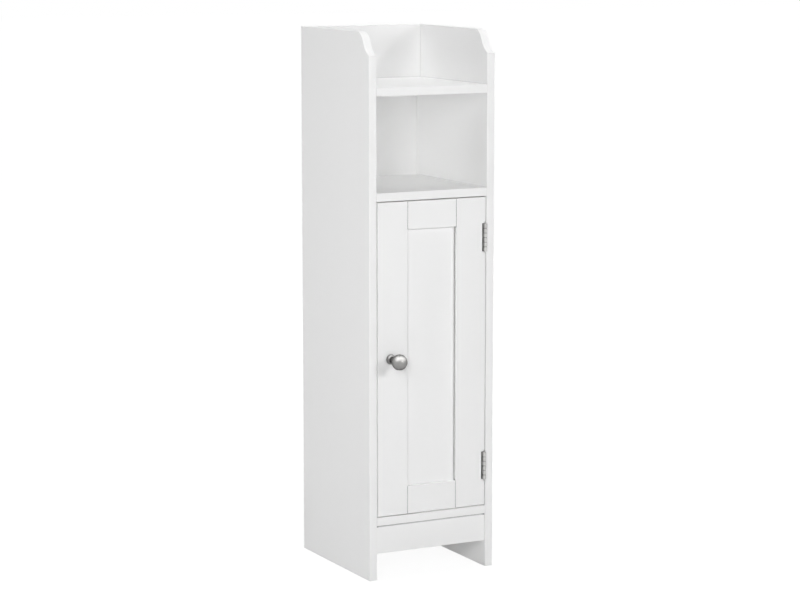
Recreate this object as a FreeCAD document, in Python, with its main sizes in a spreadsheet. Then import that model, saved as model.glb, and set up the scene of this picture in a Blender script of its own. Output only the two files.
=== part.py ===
import FreeCAD, Part
import math
import os
import re
import Sketcher

# Slim bathroom cabinet: a tray top with ogee-cut sides, an open niche and a cupboard with an inset
# frame-and-panel door on two butt hinges. Millimetres; X to the right, Y to the rear, Z up.
# The origin is on the floor, in the middle of the footprint of the two side panels.

SIZES = {
    # Case
    "unit_width": 200,
    "unit_depth": 220,
    "unit_height": 780,
    "board": 12,
    "edge_round": 0.8,
    "ogee_run": 33,
    "ogee_drop": 33,
    "ogee_radius": 30,
    "kick_clear": 38,
    "kick_height": 41,
    "kick_setback": 3,
    "tray_rise": 77.5,
    "niche_clear": 135,
    "rebate_width": 6,
    "rebate_depth": 5,
    "back_thick": 3,
    # Play around pressed and glued pieces, and the free depth left past their ends
    "fit_gap": 0.05,
    "end_room": 1,
    # Dowels
    "dowel_radius": 3,
    "dowel_in_side": 8,
    "dowel_in_board": 20,
    "dowel_rear_inset": 45,
    "rail_dowel_inset": 18,
    "kick_dowel_inset": 11,
    # Cam fasteners
    "cam_radius": 6,
    "cam_skin": 2.5,
    "cam_inset": 24,
    "cam_front_inset": 50,
    "cam_slot_width": 1.6,
    "cam_slot_depth": 1.5,
    "bolt_radius": 2.5,
    "bolt_in_side": 8,
    "bolt_neck_radius": 1.7,
    "bolt_neck_length": 5,
    "bolt_head_radius": 3,
    "bolt_head_length": 3,
    "bolt_play": 0.4,
    # Nails of the back panel
    "nail_radius": 0.8,
    "nail_length": 14,
    "nail_head_radius": 1.8,
    "nail_head_thick": 0.6,
    "nail_end_inset": 40,
    # Inner shelf on its pins
    "inner_shelf_rise": 215,
    "inner_shelf_setback": 24,
    "inner_shelf_play": 1,
    "pin_radius": 2.5,
    "pin_in_side": 8,
    "pin_reach": 8,
    "pin_edge_inset": 40,
    "pin_pitch": 32,
    # Door
    "door_gap": 1.5,
    "door_thick": 12,
    "door_round": 0.7,
    "stile_width": 47.5,
    "rail_height": 40,
    "panel_recess": 6,
    "panel_thick": 3,
    "tongue": 6,
    "panel_play": 0.5,
    # Hinges
    "hinge_length": 40,
    "hinge_end_inset": 58,
    "hinge_proud": 1.8,
    "knuckle_radius": 2.6,
    "knuckle_gap": 0.2,
    "knuckle_vee": 0.6,
    "barrel_clear": 0.3,
    "hinge_pin_radius": 1.4,
    "hinge_pin_proud": 0.4,
    "running_gap": 0.05,
    "leaf_thick": 1,
    "leaf_width": 11,
    "leaf_play": 0.1,
    "notch_clear": 2,
    "notch_depth": 3,
    "notch_flare": 3.5,
    "hinge_screw_spread": 12,
    "hinge_screw_radius": 1.25,
    "hinge_screw_head_radius": 2.2,
    "hinge_screw_length": 9,
    # Knob
    "knob_inset": 20.5,
    "knob_rise": 1.4,
    "knob_base_radius": 6.4,
    "knob_base_thick": 1.6,
    "knob_neck_radius": 4,
    "knob_neck_low": 6,
    "knob_neck_high": 15,
    "knob_under_radius": 5.5,
    "knob_under_rise": 3,
    "knob_head_radius": 11.25,
    "knob_head_mid": 27,
    "knob_screw_radius": 2,
    "knob_screw_grip": 10,
    "knob_screw_head_radius": 4,
    "knob_screw_head_thick": 2.4,
    # Magnetic catch
    "catch_length": 36,
    "catch_depth": 14,
    "catch_height": 12,
    "catch_gap": 0.2,
    "magnet_length": 20,
    "magnet_depth": 10,
    "magnet_height": 5,
    "catch_screw_radius": 1.4,
    "catch_screw_head_radius": 2.8,
    "catch_screw_head_thick": 1.8,
    "catch_screw_grip": 8,
    "strike_inset": 22,
    "strike_length": 30,
    "strike_height": 7.5,
    "strike_thick": 1,
    "strike_screw_spread": 9,
    "strike_screw_length": 8,
}

# Places and lengths that follow from the sizes above.
PLAN = {
    "front": "-unit_depth / 2",
    "inner_half": "unit_width / 2 - board",
    "back_front": "unit_depth / 2 - rebate_depth",
    "back_half": "inner_half + rebate_width - fit_gap",
    "bottom_low": "kick_clear + kick_height",
    "bottom_top": "bottom_low + board",
    "top_top": "unit_height - tray_rise",
    "top_low": "top_top - board",
    "middle_top": "top_low - niche_clear",
    "middle_low": "middle_top - board",
    "cam_y": "front + cam_front_inset",
    "dowel_y": "back_front - dowel_rear_inset",
    "cam_height": "board - cam_skin",
    "bolt_shank": "cam_inset - bolt_head_length / 2 - bolt_neck_length",
    "bolt_hole_radius": "bolt_head_radius + bolt_play",
    "inner_shelf_front": "front + inner_shelf_setback",
    "inner_shelf_low": "bottom_top + inner_shelf_rise",
    "pin_z": "inner_shelf_low - pin_radius - fit_gap",
    "pin_front_y": "inner_shelf_front + pin_edge_inset",
    "pin_rear_y": "back_front - pin_edge_inset",
    "door_half": "inner_half - door_gap",
    "door_low": "bottom_top + door_gap",
    "door_top": "middle_low - door_gap",
    "door_rear": "front + door_thick",
    "opening_half": "door_half - stile_width",
    "panel_front": "front + panel_recess",
    "panel_rear": "panel_front + panel_thick",
    "axis_x": "inner_half - knuckle_radius",
    "axis_y": "front - hinge_proud",
    "bore_radius": "hinge_pin_radius + running_gap",
    "gap_radius": "knuckle_radius + barrel_clear",
    "leaf_screw_y": "(gap_radius + leaf_width) / 2",
    "door_leaf_x": "axis_x - knuckle_radius",
    "upper_hinge_low": "door_top - hinge_end_inset - hinge_length / 2",
    "lower_hinge_low": "door_low + hinge_end_inset - hinge_length / 2",
    "knob_x": "knob_inset - door_half",
    "knob_z": "(door_low + door_top) / 2 + knob_rise",
    "strike_x": "strike_inset - door_half",
    "catch_x": "strike_x - catch_length / 2",
    "catch_y": "door_rear + strike_thick + catch_gap",
    "catch_end": "(catch_length - magnet_length) / 2",
    "catch_low": "middle_low - catch_height",
    "magnet_low": "catch_low + (catch_height - magnet_height) / 2",
    "strike_z": "catch_low + catch_height / 2",
}

NAILS_PER_SIDE = 4
KNUCKLES = 6
PIN_HOLES_PER_ROW = 3
LEFT = -1
RIGHT = 1
SAME_PLANE = 1e-6

UPRIGHT = FreeCAD.Rotation()
TO_RIGHT = FreeCAD.Rotation(FreeCAD.Vector(0, 1, 0), 90)
TO_LEFT = FreeCAD.Rotation(FreeCAD.Vector(0, 1, 0), -90)
TO_FRONT = FreeCAD.Rotation(FreeCAD.Vector(1, 0, 0), 90)
TURNED_ABOUT = FreeCAD.Rotation(FreeCAD.Vector(0, 0, 1), 180)
INTO_SIDE = {LEFT: TO_LEFT, RIGHT: TO_RIGHT}
OUT_OF_SIDE = {LEFT: TO_RIGHT, RIGHT: TO_LEFT}

doc = FreeCAD.newDocument("slim_cabinet")
sheet = doc.addObject("Spreadsheet::Sheet", "sheet")
for row, (alias, value) in enumerate(SIZES.items(), start=1):
    sheet.set(f"A{row}", alias)
    sheet.set(f"B{row}", str(value))
    sheet.setAlias(f"B{row}", alias)
doc.recompute()

OWNERS = {**dict.fromkeys(SIZES, "sheet."), **dict.fromkeys(PLAN, "plan.")}


def qualified(text):
    """The expression with each size's name led by the object that holds it."""
    return re.sub(r"[a-z]\w*", lambda word: OWNERS.get(word[0], "") + word[0], text)


def bind(thing, name, text):
    thing.setExpression(name, qualified(text))


plan = doc.addObject("App::VarSet", "plan")
for name in PLAN:
    plan.addProperty("App::PropertyFloat", name, "Plan")
for name, text in PLAN.items():
    bind(plan, name, text)
doc.recompute()


def measure(text):
    return float(plan.evalExpression(qualified(text)))


def place(thing, at, turn=UPRIGHT):
    thing.Placement = FreeCAD.Placement(FreeCAD.Vector(), turn)
    for letter, text in zip("xyz", at):
        bind(thing, f"Placement.Base.{letter}", text)
    return thing


# Sketches and features

def new_body(label):
    body = doc.addObject("PartDesign::Body", label)
    body.Label = label
    return body


def new_sketch(body, role, lift="0"):
    plane = next(item for item in body.Origin.OriginFeatures if item.Role == role)
    sketch = body.newObject("Sketcher::SketchObject", f"{body.Name}_sketch")
    sketch.AttachmentSupport = [(plane, "")]
    sketch.MapMode = "FlatFace"
    bind(sketch, "AttachmentOffset.Base.z", lift)
    return sketch


def pin_point(sketch, geometry, end, x, y):
    """Holds a point of the sketch at two bound distances from its origin."""
    for kind, text in (("DistanceX", x), ("DistanceY", y)):
        rule = Sketcher.Constraint(kind, -1, 1, geometry, end, measure(text))
        bind(sketch, f"Constraints[{sketch.addConstraint(rule)}]", text)


def bind_radius(sketch, geometry, radius):
    rule = Sketcher.Constraint("Radius", geometry, measure(radius))
    bind(sketch, f"Constraints[{sketch.addConstraint(rule)}]", radius)


def arc_between(start, end, radius, turn):
    """The short arc from start to end that turns to the left (1) or to the right (-1)."""
    chord = end - start
    side = FreeCAD.Vector(-chord.y, chord.x, 0).normalize() * turn
    centre = (start + end) / 2 + side * math.sqrt(radius ** 2 - chord.Length ** 2 / 4)
    circle = Part.Circle(centre, FreeCAD.Vector(0, 0, 1), radius)
    first, last = (start, end) if turn > 0 else (end, start)
    return Part.ArcOfCircle(circle, circle.parameter(first), circle.parameter(last))


def outline(sketch, corners):
    """Closes a profile through the corners. A corner may add the radius and turn of the arc after it."""
    points = [FreeCAD.Vector(measure(corner[0]), measure(corner[1]), 0) for corner in corners]
    ends = []
    for corner, start, end in zip(corners, points, points[1:] + points[:1]):
        if len(corner) == 2:
            ends.append((sketch.addGeometry(Part.LineSegment(start, end)), 1, 2))
            continue
        radius, turn = corner[2:]
        index = sketch.addGeometry(arc_between(start, end, measure(radius), turn))
        ends.append((index, 1, 2) if turn > 0 else (index, 2, 1))
        bind_radius(sketch, index, radius)
    for (index, _, last), (after, first, _) in zip(ends, ends[1:] + ends[:1]):
        sketch.addConstraint(Sketcher.Constraint("Coincident", index, last, after, first))
    for corner, (index, first, _) in zip(corners, ends):
        pin_point(sketch, index, first, corner[0], corner[1])


def rectangle(sketch, left, right, low, high):
    outline(sketch, [(left, low), (right, low), (right, high), (left, high)])


def ring(sketch, radius, x="0", y="0"):
    centre = FreeCAD.Vector(measure(x), measure(y), 0)
    index = sketch.addGeometry(Part.Circle(centre, FreeCAD.Vector(0, 0, 1), measure(radius)))
    bind_radius(sketch, index, radius)
    pin_point(sketch, index, 3, x, y)


def pad(body, sketch, length):
    feature = body.newObject("PartDesign::Pad", f"{body.Name}_pad")
    feature.Profile = sketch
    bind(feature, "Length", length)
    doc.recompute()


def pocket(body, sketch, length, forward=False):
    """Cuts against the sketch's normal, or along it, and makes sure that something was cut."""
    before = body.Tip.Shape.Volume
    feature = body.newObject("PartDesign::Pocket", f"{body.Name}_pocket")
    feature.Profile = sketch
    feature.Reversed = forward
    bind(feature, "Length", length)
    doc.recompute()
    if not feature.Shape.Volume < before:
        raise RuntimeError(f"{feature.Name} cuts nothing")


def revolve(body, sketch):
    feature = body.newObject("PartDesign::Revolution", f"{body.Name}_turned")
    feature.Profile = sketch
    feature.ReferenceAxis = (sketch, ["V_Axis"])
    feature.Angle = 360
    doc.recompute()


def turned_groove(body, sketch):
    feature = body.newObject("PartDesign::Groove", f"{body.Name}_groove")
    feature.Profile = sketch
    feature.ReferenceAxis = (sketch, ["V_Axis"])
    feature.Angle = 360
    doc.recompute()


def round_edges(body, chosen, radius):
    base = body.Tip
    names = [f"Edge{i}" for i, edge in enumerate(base.Shape.Edges, start=1) if chosen(edge)]
    feature = body.newObject("PartDesign::Fillet", f"{body.Name}_rounding")
    feature.Base = (base, names)
    bind(feature, "Radius", radius)
    doc.recompute()


def lies_at(edge, letter, value):
    return all(abs(getattr(vertex.Point, letter) - value) < SAME_PLANE for vertex in edge.Vertexes)


# Primitives and booleans

def rod(radius, length, at, turn=UPRIGHT):
    made = doc.addObject("Part::Cylinder", "rod")
    bind(made, "Radius", radius)
    bind(made, "Height", length)
    return place(made, at, turn)


def block(length, width, height, at):
    made = doc.addObject("Part::Box", "block")
    bind(made, "Length", length)
    bind(made, "Width", width)
    bind(made, "Height", height)
    return place(made, at)


def taper(low_radius, high_radius, height, at):
    made = doc.addObject("Part::Cone", "taper")
    bind(made, "Radius1", low_radius)
    bind(made, "Radius2", high_radius)
    bind(made, "Height", height)
    return place(made, at)


def fused(pieces, at, turn=UPRIGHT):
    made = doc.addObject("Part::MultiFuse", "fused")
    made.Shapes = pieces
    return place(made, at, turn)


def group(label, members):
    made = doc.addObject("Part::Compound", label)
    made.Label = label
    made.Links = members
    return made


def cut(label, base, tools):
    made = doc.addObject("Part::Cut", label)
    base.Label = f"{label}_blank"
    made.Label = label
    made.Base = base
    made.Tool = tools[0] if len(tools) == 1 else group(f"{label}_tools", tools)
    return made


def headed_screw(radius, length, head_radius, head_thick, at, turn):
    """A flat-headed screw or nail. Its head stands on the face at its own zero and it points along +Z."""
    shank = rod(radius, length, ("0", "0", "0"))
    head = rod(head_radius, head_thick, ("0", "0", f"-{head_thick}"))
    return fused([shank, head], at, turn)


def sunk_screw(radius, length, head_radius, head_depth, at, turn, grow="0", room="0"):
    """A countersunk screw whose head is flush with the face at its own zero; it points along +Z."""
    head = taper(f"{head_radius} + {grow}", f"{radius} + {grow}", head_depth, ("0", "0", "0"))
    shank = rod(f"{radius} + {grow}", f"{length} - {head_depth} + {room}", ("0", "0", head_depth))
    return fused([head, shank], at, turn)


nodes = []
side_drills = {LEFT: [], RIGHT: []}
dowels = []
cam_nuts = []
cam_bolts = []


def keep(thing):
    nodes.append(thing)
    return thing


# Joints between the boards and the two sides

def dowel_joint(hand, y, z):
    """A dowel across the seam of a board and a side; returns the hole that both boards get."""
    start = f"{hand} * (inner_half - dowel_in_board)"
    length = "dowel_in_board + dowel_in_side"
    dowels.append(rod("dowel_radius", length, (start, y, z), INTO_SIDE[hand]))
    deeper = f"{hand} * (inner_half - dowel_in_board - end_room)"
    hole = rod("dowel_radius + fit_gap", f"{length} + 2 * end_room", (deeper, y, z), INTO_SIDE[hand])
    side_drills[hand].append(hole)
    return hole


def cam_joint(hand, y, low):
    """A cam nut in the board's underside and its bolt in the side; returns the board's two holes."""
    seam = f"{hand} * inner_half"
    z = f"{low} + board / 2"
    turn = OUT_OF_SIDE[hand]
    thread = rod("bolt_radius", "bolt_in_side", ("0", "0", "-bolt_in_side"))
    shank = rod("bolt_radius", "bolt_shank", ("0", "0", "0"))
    neck = rod("bolt_neck_radius", "bolt_neck_length", ("0", "0", "bolt_shank"))
    head = rod("bolt_head_radius", "bolt_head_length", ("0", "0", "bolt_shank + bolt_neck_length"))
    cam_bolts.append(fused([thread, shank, neck, head], (seam, y, z), turn))
    side_drills[hand].append(
        rod("bolt_radius + fit_gap", "bolt_in_side + end_room", (seam, y, z), INTO_SIDE[hand])
    )
    cam_at = (f"{hand} * (inner_half - cam_inset)", y, low)
    disc = rod("cam_radius", "cam_height", cam_at)
    channel_start = f"{hand} * (inner_half - cam_inset - bolt_hole_radius)"
    channel = rod("bolt_hole_radius", "cam_inset", (channel_start, y, z), INTO_SIDE[hand])
    slot_at = (f"{cam_at[0]} - cam_radius", f"{y} - cam_slot_width / 2", low)
    slot = block("2 * cam_radius", "cam_slot_width", "cam_slot_depth", slot_at)
    cam_nuts.append(cut(f"cam_nut_{len(cam_nuts) + 1}", disc, [channel, slot]))
    pit = rod("cam_radius + fit_gap", "cam_height", cam_at)
    return [pit, rod("bolt_hole_radius", "cam_inset + bolt_hole_radius", (seam, y, z), turn)]


def shelf_joints(low):
    holes = []
    for hand in (LEFT, RIGHT):
        holes += cam_joint(hand, "cam_y", low)
        holes.append(dowel_joint(hand, "dowel_y", f"{low} + board / 2"))
    return holes


def eased_board(name, half, front, rear, low, height, rounded):
    """A flat board across the case; rounded gives the levels of the front edges that are eased."""
    body = new_body(name)
    sketch = new_sketch(body, "XY_Plane")
    rectangle(sketch, f"-({half})", half, front, rear)
    pad(body, sketch, height)
    face = measure(front)
    levels = [measure(text) for text in rounded]

    def eased(edge):
        return lies_at(edge, "y", face) and any(lies_at(edge, "z", level) for level in levels)

    round_edges(body, eased, "edge_round")
    return place(body, ("0", "0", low))


# Magnetic catch under the middle shelf, and its strike plate on the door

def catch_parts():
    body = new_body("catch_housing_block")
    sketch = new_sketch(body, "XY_Plane")
    rectangle(sketch, "0", "catch_length", "0", "catch_depth")
    pad(body, sketch, "catch_height")
    cavity = new_sketch(body, "XZ_Plane")
    rectangle(
        cavity, "catch_end - fit_gap", "catch_end + magnet_length + fit_gap",
        "magnet_low - catch_low - fit_gap", "magnet_low - catch_low + magnet_height + fit_gap",
    )
    pocket(body, cavity, "magnet_depth")
    place(body, ("catch_x", "catch_y", "catch_low"))
    magnet = block(
        "magnet_length", "magnet_depth", "magnet_height",
        ("catch_x + catch_end", "catch_y", "magnet_low"),
    )
    magnet.Label = "catch_magnet"
    screws = []
    holes = []
    for x in ("catch_x + catch_end / 2", "catch_x + catch_length - catch_end / 2"):
        at = (x, "catch_y + catch_depth / 2", "catch_low")
        length = "catch_height + catch_screw_grip"
        screws.append(headed_screw(
            "catch_screw_radius", length, "catch_screw_head_radius", "catch_screw_head_thick", at, UPRIGHT
        ))
        holes.append(rod("catch_screw_radius + fit_gap", f"{length} + end_room", at))
    keep(cut("catch_housing", body, holes))
    keep(magnet)
    keep(group("catch_screws", screws))
    return holes


def strike_parts():
    plate = block(
        "strike_length", "strike_thick", "strike_height",
        ("strike_x - strike_length / 2", "door_rear", "strike_z - strike_height / 2"),
    )
    screws = []
    holes = []
    for side in (LEFT, RIGHT):
        at = (f"strike_x + {side} * strike_screw_spread", "door_rear + strike_thick", "strike_z")
        shape = ("catch_screw_radius", "strike_screw_length", "catch_screw_head_radius", "strike_thick")
        screws.append(sunk_screw(*shape, at, TO_FRONT))
        holes.append(sunk_screw(*shape, at, TO_FRONT, "fit_gap", "end_room"))
    keep(cut("strike_plate", plate, holes))
    keep(group("strike_screws", screws))
    return holes


catch_holes = catch_parts()
strike_holes = strike_parts()

# Shelves, tray rail and kick plate

for label, low, more_holes in (
    ("top_shelf", "top_low", []),
    ("middle_shelf", "middle_low", catch_holes),
    ("bottom_shelf", "bottom_low", []),
):
    body = eased_board(f"{label}_board", "inner_half", "front", "back_front", low, "board", ("0", "board"))
    keep(cut(label, body, shelf_joints(low) + more_holes))

rail_front = "back_front - board"
body = eased_board(
    "tray_back_rail_board", "inner_half", rail_front, "back_front", "top_top", "tray_rise", ("tray_rise",)
)
rail_levels = ("top_top + rail_dowel_inset", "unit_height - rail_dowel_inset")
keep(cut("tray_back_rail", body, [
    dowel_joint(hand, f"{rail_front} + board / 2", z) for hand in (LEFT, RIGHT) for z in rail_levels
]))

kick_front = "front + kick_setback"
kick_rear = f"{kick_front} + board"
body = eased_board(
    "kick_plate_board", "inner_half", kick_front, kick_rear, "kick_clear", "kick_height", ("0",)
)
kick_levels = ("kick_clear + kick_dowel_inset", "bottom_low - kick_dowel_inset")
keep(cut("kick_plate", body, [
    dowel_joint(hand, f"{kick_front} + board / 2", z) for hand in (LEFT, RIGHT) for z in kick_levels
]))

# Back panel in the rebates of the sides, held by nails

back_rise = "unit_height - bottom_low"
back = block("2 * back_half", "back_thick", back_rise, ("-back_half", "back_front", "bottom_low"))
nails = []
back_holes = []
for hand in (LEFT, RIGHT):
    for index in range(NAILS_PER_SIDE):
        step = f"{index} / {NAILS_PER_SIDE - 1} * ({back_rise} - 2 * nail_end_inset)"
        at = (
            f"{hand} * (inner_half + rebate_width / 2)", "back_front + back_thick",
            f"bottom_low + nail_end_inset + {step}",
        )
        nails.append(
            headed_screw("nail_radius", "nail_length", "nail_head_radius", "nail_head_thick", at, TO_FRONT)
        )
        hole = rod("nail_radius + fit_gap", "nail_length + end_room", at, TO_FRONT)
        side_drills[hand].append(hole)
        back_holes.append(hole)
keep(cut("back_panel", back, back_holes))
keep(group("back_panel_nails", nails))

# Inner shelf on four pins, with spare pin holes above and below

keep(eased_board(
    "inner_shelf", "inner_half - inner_shelf_play", "inner_shelf_front", "back_front",
    "inner_shelf_low", "board", ("0", "board"),
))
pins = []
for hand in (LEFT, RIGHT):
    for y in ("pin_front_y", "pin_rear_y"):
        start = f"{hand} * (inner_half - pin_reach)"
        pins.append(rod("pin_radius", "pin_reach + pin_in_side", (start, y, "pin_z"), INTO_SIDE[hand]))
        for index in range(PIN_HOLES_PER_ROW):
            at = (f"{hand} * inner_half", y, f"pin_z + {index - PIN_HOLES_PER_ROW // 2} * pin_pitch")
            hole = rod("pin_radius + fit_gap", "pin_in_side + end_room", at, INTO_SIDE[hand])
            side_drills[hand].append(hole)
keep(group("shelf_pins", pins))

# Butt hinges: each leaf is a plate that leaves its knuckles at a tangent, the ends of the knuckles are
# bevelled where they meet, and the pin stays with the case

def hinge_leaf(label, near, gaps, low, holes):
    body = new_body(f"{label}_plate")
    plate = new_sketch(body, "XY_Plane")
    rectangle(plate, near, f"{near} + leaf_thick", "0", "leaf_width")
    pad(body, plate, "hinge_length")
    barrel = new_sketch(body, "XY_Plane")
    ring(barrel, "knuckle_radius")
    pad(body, barrel, "hinge_length")
    bore = new_sketch(body, "XY_Plane")
    ring(bore, "bore_radius")
    pocket(body, bore, "hinge_length", forward=True)
    for index in gaps:
        gap = new_sketch(body, "XY_Plane", f"{index} * hinge_length / {KNUCKLES} - knuckle_gap / 2")
        ring(gap, "gap_radius")
        pocket(body, gap, f"hinge_length / {KNUCKLES} + knuckle_gap", forward=True)
    for index in range(1, KNUCKLES):
        seam = f"{index} * hinge_length / {KNUCKLES}"
        vee = new_sketch(body, "XZ_Plane")
        outline(vee, [
            ("knuckle_radius - knuckle_vee", seam), ("gap_radius", f"{seam} - knuckle_vee - barrel_clear"),
            ("gap_radius", f"{seam} + knuckle_vee + barrel_clear"),
        ])
        turned_groove(body, vee)
    place(body, ("axis_x", "axis_y", low))
    keep(cut(label, body, holes))


def hinge_pin(label, low):
    body = new_body(label)
    sketch = new_sketch(body, "XZ_Plane")
    outline(sketch, [
        ("0", "-hinge_pin_proud"), ("hinge_pin_radius - hinge_pin_proud", "-hinge_pin_proud"),
        ("hinge_pin_radius", "0"), ("hinge_pin_radius", "hinge_length"),
        ("hinge_pin_radius - hinge_pin_proud", "hinge_length + hinge_pin_proud"),
        ("0", "hinge_length + hinge_pin_proud"),
    ])
    revolve(body, sketch)
    keep(place(body, ("axis_x", "axis_y", low)))


def leaf_screws(x, low, turn):
    """Two countersunk screws through a leaf; returns them and the holes that the leaf and the wood get."""
    shape = ("hinge_screw_radius", "hinge_screw_length", "hinge_screw_head_radius", "leaf_thick")
    screws = []
    holes = []
    for side in (LEFT, RIGHT):
        at = (x, "axis_y + leaf_screw_y", f"{low} + hinge_length / 2 + {side} * hinge_screw_spread")
        screws.append(sunk_screw(*shape, at, turn))
        holes.append(sunk_screw(*shape, at, turn, "fit_gap", "end_room"))
    return screws, holes


frame_screws = []
door_screws = []
door_screw_holes = []
for name, low in (("upper", "upper_hinge_low"), ("lower", "lower_hinge_low")):
    screws, holes = leaf_screws("inner_half - leaf_thick", low, TO_RIGHT)
    frame_screws += screws
    side_drills[RIGHT] += holes
    hinge_leaf(f"{name}_hinge_frame_leaf", "knuckle_radius - leaf_thick", range(1, KNUCKLES, 2), low, holes)
    screws, holes = leaf_screws("door_leaf_x + leaf_thick", low, TO_LEFT)
    door_screws += screws
    door_screw_holes += holes
    hinge_leaf(f"{name}_hinge_door_leaf", "-knuckle_radius", range(0, KNUCKLES, 2), low, holes)
    hinge_pin(f"{name}_hinge_pin", low)
keep(group("hinge_frame_screws", frame_screws))
keep(group("hinge_door_screws", door_screws))

# Side panels, with the ogee at the top of the front edge and a rebate for the back panel

def side_panel(label, hand):
    body = new_body(f"{label}_board")
    profile = new_sketch(body, "YZ_Plane")
    outline(profile, [
        ("front", "0"), ("-front", "0"), ("-front", "unit_height"),
        ("front + ogee_run", "unit_height", "ogee_radius", 1),
        ("front + ogee_run / 2", "unit_height - ogee_drop / 2", "ogee_radius", -1),
        ("front", "unit_height - ogee_drop"),
    ])
    pad(body, profile, "board")
    rebate = new_sketch(body, "XY_Plane")
    inner = ("board - rebate_width", "board") if hand == LEFT else ("0", "rebate_width")
    rectangle(rebate, *inner, "back_front", "-front")
    pocket(body, rebate, "unit_height", forward=True)
    faces = (0, measure("board"))
    rears = (-measure("front"), measure("back_front"))

    def eased(edge):
        on_face = any(lies_at(edge, "x", face) for face in faces)
        at_rear = any(lies_at(edge, "y", rear) for rear in rears)
        return on_face and not at_rear and not lies_at(edge, "z", 0)

    round_edges(body, eased, "edge_round")
    place(body, ("-unit_width / 2" if hand == LEFT else "inner_half", "0", "0"))
    keep(cut(label, body, side_drills[hand]))


side_panel("left_side_panel", LEFT)
side_panel("right_side_panel", RIGHT)
keep(group("dowels", dowels))
keep(group("cam_nuts", cam_nuts))
keep(group("cam_bolts", cam_bolts))

# Door frame: grooved stiles, and rails whose tongues and panel fill the grooves

def eased_front(body):
    face = measure("front")
    round_edges(body, lambda edge: lies_at(edge, "y", face), "door_round")


def stile(name, hand):
    body = new_body(name)
    section = new_sketch(body, "XY_Plane")
    outer = f"{hand} * door_half"
    inner = f"{hand} * opening_half"
    groove = f"{hand} * (opening_half + tongue)"
    outline(section, [
        (outer, "front"), (inner, "front"), (inner, "panel_front"), (groove, "panel_front"),
        (groove, "panel_rear"), (inner, "panel_rear"), (inner, "door_rear"), (outer, "door_rear"),
    ])
    pad(body, section, "door_top - door_low")
    eased_front(body)
    return place(body, ("0", "0", "door_low"))


def hinge_cuts(body, low):
    """The flared notch that clears the knuckles and the mortise that seats the door leaf."""
    foot = f"{low} - door_low"
    head = f"{foot} + hinge_length"
    notch = new_sketch(body, "XZ_Plane", "-front")
    root = "door_leaf_x - notch_clear"
    outline(notch, [
        (root, f"{foot} - leaf_play"), ("door_half", f"{foot} - leaf_play - notch_flare"),
        ("door_half", f"{head} + leaf_play + notch_flare"), (root, f"{head} + leaf_play"),
    ])
    pocket(body, notch, "notch_depth")
    mortise = new_sketch(body, "YZ_Plane", "door_half")
    rectangle(
        mortise, "front", "axis_y + leaf_width + leaf_play", f"{foot} - leaf_play", f"{head} + leaf_play"
    )
    pocket(body, mortise, "door_half - door_leaf_x")


def rail(label, low, groove_low):
    body = new_body(label)
    face = new_sketch(body, "XZ_Plane", "-door_rear")
    rectangle(face, "-opening_half", "opening_half", "0", "rail_height")
    pad(body, face, "door_thick")
    eased_front(body)
    tongue = new_sketch(body, "XZ_Plane", "-panel_rear")
    reach = "(opening_half + tongue)"
    rectangle(tongue, f"-{reach}", reach, "0", "rail_height")
    pad(body, tongue, "panel_thick")
    groove = new_sketch(body, "XZ_Plane", "-panel_front")
    rectangle(groove, f"-{reach}", reach, groove_low, f"{groove_low} + tongue")
    pocket(body, groove, "panel_thick")
    keep(place(body, ("0", "0", low)))


knob_screw_at = ("knob_x", "door_rear", "knob_z")
knob_hole = rod("knob_screw_radius + fit_gap", "door_thick", knob_screw_at, TO_FRONT)
keep(cut("door_left_stile", stile("door_left_stile_board", LEFT), [knob_hole] + strike_holes))

right_stile = stile("door_right_stile_board", RIGHT)
hinge_cuts(right_stile, "upper_hinge_low")
hinge_cuts(right_stile, "lower_hinge_low")
keep(cut("door_right_stile", right_stile, door_screw_holes))

rail("door_top_rail", "door_top - rail_height", "0")
rail("door_bottom_rail", "door_low", "rail_height - tongue")

panel_reach = "tongue - panel_play"
panel = block(
    f"2 * (opening_half + {panel_reach})", "panel_thick",
    f"door_top - door_low - 2 * rail_height + 2 * ({panel_reach})",
    (f"-(opening_half + {panel_reach})", "panel_front", f"door_low + rail_height - ({panel_reach})"),
)
panel.Label = "door_panel"
keep(panel)

# Knob: a ball on a flared neck, held by a screw from inside the door

def under_head_radius():
    """Radius of the arc under the ball that meets its widest ring square on."""
    wide = "(knob_head_radius - knob_under_radius)"
    deep = "(knob_head_mid - knob_neck_high - knob_under_rise)"
    return f"({wide} ^ 2 + {deep} ^ 2) / (2 * {wide})"


body = new_body("door_knob")
sketch = new_sketch(body, "XY_Plane")
hole_radius = "knob_screw_radius + fit_gap"
hole_depth = "knob_screw_grip + end_room"
outline(sketch, [
    (hole_radius, "0"), ("knob_base_radius", "0"),
    ("knob_base_radius", "knob_base_thick", "knob_neck_low - knob_base_thick", -1),
    ("knob_neck_radius", "knob_neck_low"),
    ("knob_neck_radius", "knob_neck_high", "knob_under_rise", -1),
    ("knob_under_radius", "knob_neck_high + knob_under_rise", under_head_radius(), 1),
    ("knob_head_radius", "knob_head_mid", "knob_head_radius", 1),
    ("0", "knob_head_mid + knob_head_radius"), ("0", hole_depth), (hole_radius, hole_depth),
])
revolve(body, sketch)
keep(place(body, ("knob_x", "front", "knob_z"), TURNED_ABOUT))
knob_screw = headed_screw(
    "knob_screw_radius", "door_thick + knob_screw_grip", "knob_screw_head_radius", "knob_screw_head_thick",
    knob_screw_at, TO_FRONT,
)
knob_screw.Label = "knob_screw"
keep(knob_screw)

# Checks, then one file for each piece

doc.recompute()
for thing in doc.Objects:
    if {"Invalid", "Error"} & set(thing.State):
        raise RuntimeError(f"{thing.Label} failed: {thing.State}")
for node in nodes:
    if node.Shape.isNull() or not node.Shape.isValid():
        raise RuntimeError(f"{node.Label} has no valid shape")
os.makedirs("parts", exist_ok=True)
for node in nodes:
    node.Shape.exportStep(f"parts/{node.Label}.step")
print(len(nodes), "pieces written")
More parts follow.
